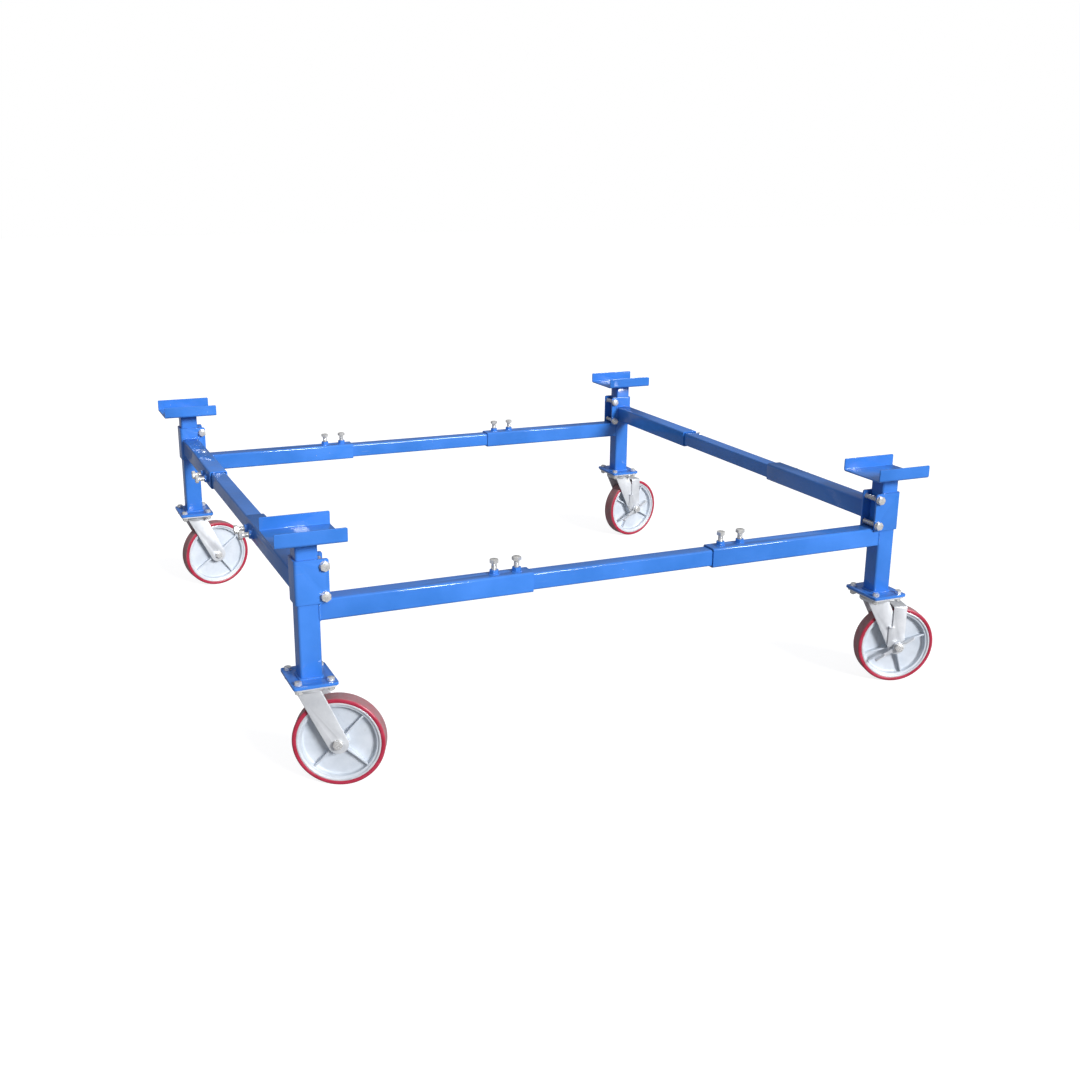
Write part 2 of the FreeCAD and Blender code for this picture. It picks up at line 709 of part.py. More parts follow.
def corner_nodes(name, side_x, side_y, heading, rib_angle, has_brake):
    steelwork = {
        "post": post(),
        "x_sleeve": x_sleeve(),
        "side_arm": side_arm(),
        "saddle": [saddle()],
        "clamp_bolts": clamp_bolts(side_y),
        "plate_bolts": plate_bolts(),
        "x_lock_bolts": [as_x_rail(one) for one in lock_bolts(SLEEVE_X_LENGTH)],
        "y_lock_bolts": [as_y_rail(one) for one in lock_bolts(SLEEVE_Y_LENGTH)],
        "caster_plate": caster_plate(),
    }
    caster = {
        "fork": fork(),
        "axle": axle(has_brake),
        "wheel_core": [wheel_core(rib_angle)],
        "tread": [tread()],
    }
    if has_brake:
        caster["brake_arm"] = brake_arm()
        caster["brake_lever"] = brake_lever()
    nodes = {}
    for piece, solids in steelwork.items():
        nodes[f"{piece}_{name}"] = [set_at_corner(one, side_x, side_y) for one in solids]
    for piece, solids in caster.items():
        nodes[f"{piece}_{name}"] = [swivelled(one, heading, side_x, side_y) for one in solids]
    return nodes


def rail_nodes():
    """The four inner tubes, each centred between its two posts."""
    along_x = lay_along(inner_tube(INNER_X_LENGTH), X)
    along_y = lay_along(inner_tube(INNER_Y_LENGTH), Y)
    half_x = POST_SPACING_X / 2
    half_y = POST_SPACING_Y / 2
    return {
        "inner_tube_front": [moved(along_x, y=-half_y, z=X_RAIL_CENTRE)],
        "inner_tube_rear": [moved(along_x, y=half_y, z=X_RAIL_CENTRE)],
        "inner_tube_left": [moved(along_y, x=-half_x, z=Y_RAIL_CENTRE)],
        "inner_tube_right": [moved(along_y, x=half_x, z=Y_RAIL_CENTRE)],
    }


def centred(nodes):
    """Shifts everything so that the origin is the middle of the footprint on the floor."""
    everything = Part.makeCompound([one for solids in nodes.values() for one in solids])
    box = everything.optimalBoundingBox(False, False)
    for solids in nodes.values():
        for one in solids:
            one.translate(vec(-box.Center.x, -box.Center.y, 0))
    return nodes


def all_nodes():
    nodes = rail_nodes()
    for name, values in CORNERS.items():
        nodes.update(corner_nodes(name, *values))
    return centred(nodes)


os.makedirs("parts", exist_ok=True)
for node, solids in all_nodes().items():
    Part.makeCompound(solids).exportStep(f"parts/{node}.step")
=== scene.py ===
import json
import math
import random

import bmesh
import bpy
from mathutils import Matrix, Vector


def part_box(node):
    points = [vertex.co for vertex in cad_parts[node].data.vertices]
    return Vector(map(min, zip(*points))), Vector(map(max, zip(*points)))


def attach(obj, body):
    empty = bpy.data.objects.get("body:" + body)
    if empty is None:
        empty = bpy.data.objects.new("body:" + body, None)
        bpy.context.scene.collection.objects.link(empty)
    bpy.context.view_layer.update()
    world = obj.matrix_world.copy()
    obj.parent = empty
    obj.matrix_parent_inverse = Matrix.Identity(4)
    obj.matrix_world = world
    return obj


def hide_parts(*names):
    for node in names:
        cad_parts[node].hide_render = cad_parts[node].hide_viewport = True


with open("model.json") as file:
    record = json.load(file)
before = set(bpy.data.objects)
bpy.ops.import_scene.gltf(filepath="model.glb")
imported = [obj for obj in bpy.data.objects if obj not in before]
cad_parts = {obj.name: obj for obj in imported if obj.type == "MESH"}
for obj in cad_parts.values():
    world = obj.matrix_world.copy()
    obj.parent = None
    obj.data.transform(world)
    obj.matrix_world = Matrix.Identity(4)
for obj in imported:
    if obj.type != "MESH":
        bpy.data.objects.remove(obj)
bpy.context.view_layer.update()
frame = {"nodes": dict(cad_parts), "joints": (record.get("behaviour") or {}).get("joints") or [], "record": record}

cornerNames = ["front_left", "front_right", "rear_left", "rear_right"]
joints = {joint["name"]: joint for joint in frame["joints"]}
mm = 0.001
up = Vector((0, 0, 1))
print("frame loaded:", len(frame["nodes"]), "pieces")


# where things are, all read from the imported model

def postCentre(corner):
    low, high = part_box("post_" + corner)
    return (low + high) / 2


def inward(corner):
    # signs of the ways along X and Y that lead to the neighbouring posts
    return (1 if "left" in corner else -1), (1 if "front" in corner else -1)


def bodyOf(node):
    for body, members in frame["record"]["behaviour"]["bodies"].items():
        if node in members:
            return body


def hasBrake(corner):
    return "brake_arm_" + corner in frame["nodes"]


def wheelMatrix(corner):
    # local Z runs along the axle away from the side with the bolt head, local X is the way
    # the wheel trails, local Y points down
    joint = joints[corner + "_wheel_spin"]
    axle = Vector(joint["axis"])
    turn = Matrix((axle.cross(up), -up, axle)).transposed().to_4x4()
    return Matrix.Translation(Vector(joint["pos_m"])) @ turn


# small helpers for shader trees

def newMaterial(name):
    material = bpy.data.materials.new(name)
    material.use_nodes = True
    tree = material.node_tree
    tree.nodes.clear()
    output = tree.nodes.new("ShaderNodeOutputMaterial")
    shader = tree.nodes.new("ShaderNodeBsdfPrincipled")
    tree.links.new(shader.outputs["BSDF"], output.inputs["Surface"])
    return material, tree, shader


def noiseIn(tree, scale, detail=3.0, roughness=0.55, stretch=(1, 1, 1)):
    coords = tree.nodes.new("ShaderNodeTexCoord")
    mapping = tree.nodes.new("ShaderNodeMapping")
    texture = tree.nodes.new("ShaderNodeTexNoise")
    mapping.inputs["Scale"].default_value = stretch
    texture.inputs["Scale"].default_value = scale
    texture.inputs["Detail"].default_value = detail
    texture.inputs["Roughness"].default_value = roughness
    tree.links.new(coords.outputs["Object"], mapping.inputs["Vector"])
    tree.links.new(mapping.outputs["Vector"], texture.inputs["Vector"])
    return texture.outputs["Fac"]


def mapped(tree, value, low, high, newLow=0.0, newHigh=1.0):
    node = tree.nodes.new("ShaderNodeMapRange")
    tree.links.new(value, node.inputs["Value"])
    node.inputs["From Min"].default_value = low
    node.inputs["From Max"].default_value = high
    node.inputs["To Min"].default_value = newLow
    node.inputs["To Max"].default_value = newHigh
    return node.outputs["Result"]


def combined(tree, operation, first, second):
    node = tree.nodes.new("ShaderNodeMath")
    node.operation = operation
    for socket, value in zip(node.inputs, (first, second)):
        if isinstance(value, float):
            socket.default_value = value
        else:
            tree.links.new(value, socket)
    return node.outputs["Value"]


def mixedColour(tree, amount, first, second):
    node = tree.nodes.new("ShaderNodeMix")
    node.data_type = "RGBA"
    tree.links.new(amount, node.inputs["Factor"])
    colourSockets = [socket for socket in node.inputs if socket.type == "RGBA"]
    for socket, value in zip(colourSockets, (first, second)):
        if isinstance(value, tuple):
            socket.default_value = (*value, 1.0)
        else:
            tree.links.new(value, socket)
    return [socket for socket in node.outputs if socket.type == "RGBA"][0]


def bumped(tree, shader, heights):
    # heights is a list of (value, strength, distance in metres), finest last
    normal = None
    for height, strength, distance in heights:
        node = tree.nodes.new("ShaderNodeBump")
        node.inputs["Strength"].default_value = strength
        node.inputs["Distance"].default_value = distance
        tree.links.new(height, node.inputs["Height"])
        if normal:
            tree.links.new(normal, node.inputs["Normal"])
        normal = node.outputs["Normal"]
    tree.links.new(normal, shader.inputs["Normal"])


def upFacing(tree):
    # 1 on faces that look up, 0 on walls and undersides
    geometry = tree.nodes.new("ShaderNodeNewGeometry")
    split = tree.nodes.new("ShaderNodeSeparateXYZ")
    tree.links.new(geometry.outputs["Normal"], split.inputs["Vector"])
    return mapped(tree, split.outputs["Z"], 0.55, 0.95)


def attributeIn(tree, name):
    node = tree.nodes.new("ShaderNodeAttribute")
    node.attribute_name = name
    return node.outputs["Fac"]


enamel = {
    "deep": (0.028, 0.168, 0.58),
    "bright": (0.048, 0.215, 0.71),
    "dust": (0.11, 0.20, 0.46),
    "scuff": (0.16, 0.29, 0.58),
    "bare": (0.42, 0.43, 0.45),
    "gloss": 0.08,
    "coat": 0.60,
    "coatRoughness": 0.10,
    "coatBend": 1.7,            # refractive index of the gloss, which sets its highlights
    "peel": 0.10,
}


def blueEnamel():
    material, tree, shader = newMaterial("blue_gloss_enamel")
    cloud = mapped(tree, noiseIn(tree, 4.5, 4.0), 0.35, 0.65)
    colour = mixedColour(tree, cloud, enamel["deep"], enamel["bright"])
    # a thin, blotchy film of dust on whatever looks up
    dustNoise = mapped(tree, noiseIn(tree, 26.0, 6.0, 0.7), 0.40, 0.74, 0.02, 0.40)
    dust = combined(tree, "MULTIPLY", dustNoise, upFacing(tree))
    colour = mixedColour(tree, dust, colour, enamel["dust"])
    # rub marks in a few patches, and pin-head chips down to the steel
    scuffs = mapped(tree, noiseIn(tree, 60.0, 2.0, 0.5, (0.25, 0.25, 3.0)), 0.66, 0.76, 0.0, 0.45)
    patches = mapped(tree, noiseIn(tree, 7.0, 2.0), 0.52, 0.66)
    scuffs = combined(tree, "MULTIPLY", scuffs, patches)
    colour = mixedColour(tree, scuffs, colour, enamel["scuff"])
    chips = mapped(tree, noiseIn(tree, 150.0, 1.0), 0.775, 0.80)
    chips = combined(tree, "MULTIPLY", chips, mapped(tree, noiseIn(tree, 9.0, 2.0), 0.50, 0.60))
    colour = mixedColour(tree, chips, colour, enamel["bare"])
    tree.links.new(colour, shader.inputs["Base Color"])
    smooth = mapped(tree, noiseIn(tree, 18.0, 5.0, 0.65), 0.3, 0.7, 0.30, 0.46)
    roughness = combined(tree, "ADD", smooth, combined(tree, "MULTIPLY", dust, 0.5))
    tree.links.new(roughness, shader.inputs["Roughness"])
    shader.inputs["Coat Weight"].default_value = enamel["coat"]
    shader.inputs["Coat Roughness"].default_value = enamel["coatRoughness"]
    shader.inputs["Coat IOR"].default_value = enamel["coatBend"]
    shader.inputs["Specular IOR Level"].default_value = enamel["gloss"]
    bumped(tree, shader, [
        (noiseIn(tree, 14.0, 2.0), 0.18, 0.0012),
        (noiseIn(tree, 420.0, 2.0), enamel["peel"], 0.0006),
    ])
    return material


zinc = {
    "light": (0.76, 0.78, 0.815),
    "dull": (0.58, 0.605, 0.645),
    "stain": (0.36, 0.355, 0.34),
    "metallic": 0.40,
}


def zincPlate():
    material, tree, shader = newMaterial("bright_zinc_plate")
    cloud = mapped(tree, noiseIn(tree, 14.0, 5.0, 0.6), 0.35, 0.7)
    colour = mixedColour(tree, cloud, zinc["light"], zinc["dull"])
    stain = mapped(tree, noiseIn(tree, 55.0, 6.0, 0.75), 0.62, 0.8, 0.0, 0.6)
    colour = mixedColour(tree, stain, colour, zinc["stain"])
    tree.links.new(colour, shader.inputs["Base Color"])
    shader.inputs["Metallic"].default_value = zinc["metallic"]
    grain = noiseIn(tree, 160.0, 3.0, 0.6, (1.0, 1.0, 0.12))
    roughness = mapped(tree, grain, 0.25, 0.75, 0.32, 0.50)
    tree.links.new(roughness, shader.inputs["Roughness"])
    bumped(tree, shader, [
        (noiseIn(tree, 35.0, 3.0), 0.12, 0.001),
        (grain, 0.10, 0.0004),
    ])
    return material


brightPlating = {
    "light": (0.88, 0.88, 0.87),
    "dull": (0.66, 0.66, 0.65),
    "grime": (0.20, 0.19, 0.17),
    "metallic": 0.6,
}


def brightSteel():
    material, tree, shader = newMaterial("bright_plated_steel")
    cloud = mapped(tree, noiseIn(tree, 90.0, 4.0), 0.35, 0.7)
    colour = mixedColour(tree, cloud, brightPlating["light"], brightPlating["dull"])
    grime = mapped(tree, noiseIn(tree, 260.0, 5.0, 0.7), 0.60, 0.78, 0.0, 0.55)
    colour = mixedColour(tree, grime, colour, brightPlating["grime"])
    tree.links.new(colour, shader.inputs["Base Color"])
    shader.inputs["Metallic"].default_value = brightPlating["metallic"]
    roughness = mapped(tree, noiseIn(tree, 240.0, 3.0), 0.3, 0.7, 0.18, 0.32)
    tree.links.new(roughness, shader.inputs["Roughness"])
    bumped(tree, shader, [(noiseIn(tree, 300.0, 2.0), 0.10, 0.0003)])
    return material


castIron = {
    "light": (0.65, 0.695, 0.76),
    "grey": (0.52, 0.57, 0.635),
    "grime": (0.22, 0.22, 0.22),
    "lip": (0.76, 0.78, 0.82),
}


def greyIronPaint():
    material, tree, shader = newMaterial("grey_painted_iron")
    cloud = mapped(tree, noiseIn(tree, 18.0, 4.0), 0.35, 0.7)
    colour = mixedColour(tree, cloud, castIron["light"], castIron["grey"])
    grime = mapped(tree, noiseIn(tree, 40.0, 7.0, 0.75), 0.60, 0.80, 0.0, 0.40)
    colour = mixedColour(tree, grime, colour, castIron["grime"])
    tree.links.new(colour, shader.inputs["Base Color"])
    roughness = mapped(tree, noiseIn(tree, 60.0, 4.0), 0.3, 0.7, 0.42, 0.62)
    tree.links.new(roughness, shader.inputs["Roughness"])
    shader.inputs["Metallic"].default_value = 0.1
    bumped(tree, shader, [
        (noiseIn(tree, 45.0, 3.0), 0.25, 0.0015),
        (noiseIn(tree, 420.0, 4.0, 0.7), 0.30, 0.0007),
    ])
    return material


def turnedLip():
    # the machined edge of the rim, with fine turning marks
    material, tree, shader = newMaterial("turned_rim_lip")
    wear = mapped(tree, noiseIn(tree, 30.0, 5.0, 0.7), 0.40, 0.75)
    colour = mixedColour(tree, wear, castIron["lip"], castIron["grey"])
    tree.links.new(colour, shader.inputs["Base Color"])
    shader.inputs["Metallic"].default_value = 0.35
    marks = noiseIn(tree, 350.0, 3.0)
    roughness = mapped(tree, marks, 0.3, 0.7, 0.30, 0.45)
    tree.links.new(roughness, shader.inputs["Roughness"])
    bumped(tree, shader, [(marks, 0.12, 0.0003)])
    return material


treadBand = {
    "red": (0.36, 0.016, 0.042),
    "pale": (0.46, 0.034, 0.078),
    "dust": (0.36, 0.23, 0.24),
    "shoulder": 5.5 * mm,
    "dustEdge": 2.0 * mm,
}


def redPolyurethane():
    material, tree, shader = newMaterial("red_polyurethane")
    cloud = mapped(tree, noiseIn(tree, 25.0, 4.0), 0.35, 0.7)
    colour = mixedColour(tree, cloud, treadBand["red"], treadBand["pale"])
    patches = mapped(tree, noiseIn(tree, 48.0, 6.0, 0.7), 0.28, 0.62, 0.45, 0.95)
    dust = combined(tree, "MULTIPLY", attributeIn(tree, "rollingDust"), patches)
    specks = mapped(tree, noiseIn(tree, 300.0, 4.0, 0.7), 0.62, 0.74, 0.0, 0.35)
    dust = combined(tree, "MAXIMUM", dust, specks)
    colour = mixedColour(tree, dust, colour, treadBand["dust"])
    tree.links.new(colour, shader.inputs["Base Color"])
    roughness = mapped(tree, dust, 0.0, 1.0, 0.30, 0.75)
    tree.links.new(roughness, shader.inputs["Roughness"])
    shader.inputs["Subsurface Weight"].default_value = 0.12
    shader.inputs["Subsurface Radius"].default_value = (0.004, 0.001, 0.001)
    bumped(tree, shader, [
        (noiseIn(tree, 60.0, 3.0), 0.15, 0.0008),
        (noiseIn(tree, 500.0, 4.0, 0.7), 0.22, 0.0004),
    ])
    return material


paint = blueEnamel()
plate = zincPlate()
steel = brightSteel()
iron = greyIronPaint()
rimLip = turnedLip()
polyurethane = redPolyurethane()
print("materials ready")


# small helpers for meshes and geometry trees

def newPiece(name, mesh, materials=()):
    piece = bpy.data.objects.new(name, mesh)
    bpy.context.scene.collection.objects.link(piece)
    for material in materials:
        mesh.materials.append(material)
    return piece


def baked(piece):
    # the modifiers' result as a plain mesh in a new object
    graph = bpy.context.evaluated_depsgraph_get()
    graph.update()
    mesh = bpy.data.meshes.new_from_object(piece.evaluated_get(graph))
    name = piece.name
    bpy.data.objects.remove(piece)
    return newPiece(name, mesh)


def finished(piece, nodes, body):
    # hides the CAD nodes that the piece stands for and says what it moves with
    if nodes:
        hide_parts(*nodes)
    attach(piece, body)


def newTree(name, sizes):
    # sizes is a list of (label, kind of socket) that the modifier offers besides the geometry
    tree = bpy.data.node_groups.new(name, "GeometryNodeTree")
    tree.interface.new_socket("Geometry", in_out="INPUT", socket_type="NodeSocketGeometry")
    for label, kind in sizes:
        tree.interface.new_socket(label, in_out="INPUT", socket_type="NodeSocket" + kind)
    tree.interface.new_socket("Geometry", in_out="OUTPUT", socket_type="NodeSocketGeometry")
    return tree, tree.nodes.new("NodeGroupInput").outputs, tree.nodes.new("NodeGroupOutput")


def addNode(tree, kind, inputs=None, **settings):
    # inputs maps an input's name or number to a value or to another node's output
    node = tree.nodes.new(kind)
    for name, value in settings.items():
        setattr(node, name, value)
    for key, value in (inputs or {}).items():
        if isinstance(value, bpy.types.NodeSocket):
            tree.links.new(value, node.inputs[key])
        else:
            node.inputs[key].default_value = value
    return node


def closeTree(tree, geometry, finish, output):
    whole = addNode(tree, "GeometryNodeRealizeInstances", {"Geometry": geometry})
    coated = addNode(tree, "GeometryNodeSetMaterial",
                     {"Geometry": whole.outputs["Geometry"], "Material": finish})
    tree.links.new(coated.outputs["Geometry"], output.inputs["Geometry"])


def grown(name, tree, baseMesh, values):
    # runs a geometry tree on a base mesh and keeps the result
    piece = newPiece(name, baseMesh)
    modifier = piece.modifiers.new("shape", "NODES")
    modifier.node_group = tree
    for item in tree.interface.items_tree:
        if item.in_out == "INPUT" and item.name in values:
            modifier[item.identifier] = values[item.name]
    return baked(piece)


def emptyMesh(name):
    # one point for trees that need nothing to start from
    mesh = bpy.data.meshes.new(name)
    mesh.from_pydata([(0, 0, 0)], [], [])
    return mesh


def spun(mesh, profile, segments, closed=True, pickMaterial=None):
    # turns an outline of (radius, height) about Z; either may be a function of the angle
    def at(value, turn):
        return value(turn) if callable(value) else value

    columns = []
    poles = {}
    for k in range(segments):
        turn = math.tau * k / segments
        column = []
        for index, (radius, height) in enumerate(profile):
            reach = at(radius, turn)
            if reach == 0 and index in poles:
                column.append(poles[index])
                continue
            place = (reach * math.cos(turn), reach * math.sin(turn), at(height, turn))
            vertex = mesh.verts.new(place)
            if reach == 0:
                poles[index] = vertex
            column.append(vertex)
        columns.append(column)
    steps = len(profile) if closed else len(profile) - 1
    for k in range(segments):
        here, there = columns[k], columns[(k + 1) % segments]
        for i in range(steps):
            j = (i + 1) % len(profile)
            face = mesh.faces.new(dict.fromkeys([here[i], here[j], there[j], there[i]]))
            face.smooth = True
            if pickMaterial:
                face.material_index = pickMaterial(i)


def meshFrom(name, build, sharpAngle=35.0):
    # a mesh filled by build(bmesh), with outward faces and sharp edges kept sharp
    shape = bmesh.new()
    build(shape)
    bmesh.ops.recalc_face_normals(shape, faces=shape.faces)
    mesh = bpy.data.meshes.new(name)
    shape.to_mesh(mesh)
    shape.free()
    mesh.set_sharp_from_angle(angle=math.radians(sharpAngle))
    return mesh


def arc(centre, radius, fromDegrees, toDegrees, steps):
    # points on a circle in the (radius, height) plane of an outline
    points = []
    for k in range(steps + 1):
        angle = math.radians(fromDegrees + (toDegrees - fromDegrees) * k / steps)
        points.append((centre[0] + radius * math.cos(angle), centre[1] + radius * math.sin(angle)))
    return points


# steelwork and pressed plates: the CAD shapes with every sharp edge broken

softEdges = {
    "post": (1.2 * mm, paint, "blue_gloss_paint"),
    "side_arm": (1.2 * mm, paint, "blue_gloss_paint"),
    "x_sleeve": (0.8 * mm, paint, "blue_gloss_paint"),
    "saddle": (1.2 * mm, paint, "blue_gloss_paint"),
    "fork": (1.2 * mm, plate, "zinc_plated_steel"),
    "caster_plate": (1.0 * mm, plate, "zinc_plated_steel"),
    "brake_arm": (1.0 * mm, plate, "zinc_plated_steel"),
    "brake_lever": (0.8 * mm, plate, "zinc_plated_steel"),
}


def softened(node, width, material):
    piece = newPiece(node + "_finished", frame["nodes"][node].data.copy())
    mesh = bmesh.new()
    mesh.from_mesh(piece.data)
    bmesh.ops.remove_doubles(mesh, verts=mesh.verts, dist=0.00002)
    bmesh.ops.dissolve_limit(
        mesh, angle_limit=math.radians(1.0), verts=mesh.verts, edges=mesh.edges
    )
    for face in mesh.faces:
        face.smooth = True
    mesh.to_mesh(piece.data)
    mesh.free()
    piece.data.materials.clear()
    piece.data.materials.append(material)
    bevel = piece.modifiers.new("edge_break", "BEVEL")
    bevel.width = width
    bevel.segments = 2
    bevel.limit_method = "ANGLE"
    bevel.angle_limit = math.radians(40)
    bevel.use_clamp_overlap = True
    bevel.harden_normals = True
    return baked(piece)


for node in sorted(frame["nodes"]):
    kind = next((name for name in softEdges if node.startswith(name)), None)
    if kind:
        width, material, slotName = softEdges[kind]
        finished(softened(node, width, material), [node], bodyOf(node))
print("steelwork ready")


# telescoping rails: a square profile with its bore, drawn out along the rail

rail = {
    "wall": 3.5 * mm,
    "corner": 6.0 * mm,
}


def railTree():
    tree, given, output = newTree("square_tube", [
        ("Side", "Float"), ("Wall", "Float"), ("Corner", "Float"), ("Length", "Float"),
        ("Finish", "Material"),
    ])

    def roundedSquare(side, corner):
        square = addNode(tree, "GeometryNodeCurvePrimitiveQuadrilateral",
                         {"Width": side, "Height": side})
        return addNode(tree, "GeometryNodeFilletCurve",
                       {"Curve": square.outputs["Curve"], "Radius": corner, "Count": 6},
                       mode="POLY").outputs["Curve"]

    twoWalls = addNode(tree, "ShaderNodeMath", {0: given["Wall"], 1: 2.0}, operation="MULTIPLY")
    boreSide = addNode(tree, "ShaderNodeMath", {0: given["Side"], 1: twoWalls.outputs[0]},
                       operation="SUBTRACT")
    boreCorner = addNode(tree, "ShaderNodeMath", {0: given["Corner"], 1: given["Wall"]},
                         operation="SUBTRACT")
    outlines = addNode(tree, "GeometryNodeJoinGeometry")
    for outline in (roundedSquare(given["Side"], given["Corner"]),
                    roundedSquare(boreSide.outputs[0], boreCorner.outputs[0])):
        tree.links.new(outline, outlines.inputs[0])
    end = addNode(tree, "GeometryNodeFillCurve", {"Curve": outlines.outputs[0]})
    walls = addNode(tree, "GeometryNodeExtrudeMesh", {
        "Mesh": end.outputs["Mesh"], "Offset": (0, 0, 1), "Offset Scale": given["Length"],
        "Individual": False,
    })
    firstEnd = addNode(tree, "GeometryNodeFlipFaces", {"Mesh": end.outputs["Mesh"]})
    tube = addNode(tree, "GeometryNodeJoinGeometry")
    for part in (walls.outputs["Mesh"], firstEnd.outputs["Mesh"]):
        tree.links.new(part, tube.inputs[0])
    welded = addNode(tree, "GeometryNodeMergeByDistance", {"Geometry": tube.outputs[0],
                                                           "Distance": 0.01 * mm})
    closeTree(tree, welded.outputs["Geometry"], given["Finish"], output)
    return tree


squareTube = railTree()
for side in ("front", "rear", "left", "right"):
    node = "inner_tube_" + side
    low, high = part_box(node)
    size = high - low
    alongX = size.x > size.y
    piece = grown(node + "_finished", squareTube, emptyMesh(node), {
        "Side": size.z, "Wall": rail["wall"], "Corner": rail["corner"],
        "Length": max(size.x, size.y), "Finish": paint,
    })
    direction = Vector((1, 0, 0)) if alongX else Vector((0, 1, 0))
    turn = Matrix((direction.cross(up), up, direction)).transposed().to_4x4()
    middle = (low + high) / 2
    start = middle - direction * max(size.x, size.y) / 2
    piece.data.transform(Matrix.Translation(start) @ turn)
    mesh = bmesh.new()
    mesh.from_mesh(piece.data)
    bmesh.ops.recalc_face_normals(mesh, faces=mesh.faces)
    for face in mesh.faces:
        face.smooth = True
    mesh.to_mesh(piece.data)
    mesh.free()
    piece.data.set_sharp_from_angle(angle=math.radians(35))
    finished(piece, [node], bodyOf(node))
print("rails ready")


# bolts, nuts and washers

bolting = {
    "flatsPerThread": 1.5,
    "headPerThread": 0.625,
    "nutPerThread": 0.8,
    "washerPerThread": 0.85,
    "threadPastNut": 3.0 * mm,
    "threadShare": 0.8,     # of the reach under the head, on a bolt with a nut
    "longestThread": 2.4,   # on the same bolt, in thread diameters
    "clampThreadShare": 0.9,
    "lockShoulder": 4.0 * mm,    # plain shank under a lock bolt's head
    "segments": 36,
    "crownSlope": 0.5,      # how steeply a head's top corners are chamfered
}
threadSizes = {
    "plate": {"thread": 12 * mm, "pitch": 1.75 * mm, "washer": 2.0 * mm, "grip": 14 * mm},
    "clamp": {"thread": 16 * mm, "pitch": 2.0 * mm, "washer": 2.5 * mm, "grip": 72 * mm},
    "lock": {"thread": 16 * mm, "pitch": 2.0 * mm},
    "axle": {"thread": 16 * mm, "pitch": 2.0 * mm, "washer": 2.0 * mm},
}


def hexagonReach(flats):
    def reach(turn):
        fromFlat = (turn + math.pi / 6) % (math.pi / 3) - math.pi / 6
        return flats / 2 / math.cos(fromFlat)
    return reach


def chamferedHexagon(flats, low, high, bore=0.0, bothEnds=False):
    # outline of a hexagonal head or nut whose corners are cut by a cone
    reach = hexagonReach(flats)
    face = flats / 2 * 0.95
    slope = bolting["crownSlope"]

    def upper(turn):
        return high - (reach(turn) - face) * slope

    def lower(turn):
        return low + (reach(turn) - face) * slope * (1.0 if bothEnds else 0.0)

    return [(bore, high), (face, high), (reach, upper), (reach, lower),
            (face, low), (bore, low)]


def threadTree():
    tree, given, output = newTree("screw_thread", [
        ("Radius", "Float"), ("Pitch", "Float"), ("Length", "Float"), ("Finish", "Material"),
    ])
    turns = addNode(tree, "ShaderNodeMath", {0: given["Length"], 1: given["Pitch"]},
                    operation="DIVIDE")
    ridge = addNode(tree, "ShaderNodeMath", {0: given["Pitch"], 1: 0.55}, operation="MULTIPLY")
    centreLine = addNode(tree, "ShaderNodeMath", {0: given["Radius"], 1: ridge.outputs[0]},
                         operation="SUBTRACT")
    spiral = addNode(tree, "GeometryNodeCurveSpiral", {
        "Resolution": 18, "Rotations": turns.outputs[0], "Height": given["Length"],
        "Start Radius": centreLine.outputs[0], "End Radius": centreLine.outputs[0],
    })
    profile = addNode(tree, "GeometryNodeCurvePrimitiveCircle",
                      {"Resolution": 3, "Radius": ridge.outputs[0]})
    screw = addNode(tree, "GeometryNodeCurveToMesh", {
        "Curve": spiral.outputs["Curve"], "Profile Curve": profile.outputs["Curve"],
        "Fill Caps": True,
    })
    closeTree(tree, screw.outputs["Mesh"], given["Finish"], output)
    return tree


screwThread = threadTree()


def boltModel(name, size, underHead, threadLength, washers=(), nutTop=None):
    # a bolt along Z with the underside of its head at 0; washers lists their lower faces,
    # and nutTop is the face of a nut that points to the head
    thread, pitch = size["thread"], size["pitch"]
    flats = bolting["flatsPerThread"] * thread
    core = thread / 2 - 0.6 * pitch
    tip = -underHead
    threadTop = tip + threadLength

    def build(mesh):
        head = chamferedHexagon(flats, 0, bolting["headPerThread"] * thread)
        shank = [(thread / 2, 0), (thread / 2, threadTop), (core, threadTop - pitch / 2),
                 (core, tip + pitch), (core - pitch / 2, tip), (0, tip)]
        spun(mesh, head[:-1] + shank, bolting["segments"], closed=False)
        bore = thread / 2 + 0.2 * mm
        rim = bolting["washerPerThread"] * thread
        edge = 0.4 * mm
        for low in washers:
            high = low + size["washer"]
            spun(mesh, [(bore, low), (rim - edge, low), (rim, low + edge), (rim, high - edge),
                        (rim - edge, high), (bore, high)], bolting["segments"])
        if nutTop is not None:
            nutLow = nutTop - bolting["nutPerThread"] * thread
            spun(mesh, chamferedHexagon(flats, nutLow, nutTop, thread / 2, True),
                 bolting["segments"])

    model = newPiece(name, meshFrom(name, build))
    screw = grown(name + "_thread", screwThread, emptyMesh(name), {
        "Radius": thread / 2, "Pitch": pitch, "Length": threadLength - pitch, "Finish": steel,
    })
    screw.data.transform(Matrix.Translation((0, 0, tip + pitch / 2)))
    whole = bmesh.new()
    whole.from_mesh(model.data)
    whole.from_mesh(screw.data)
    whole.to_mesh(model.data)
    whole.free()
    bpy.data.objects.remove(screw)
    return model


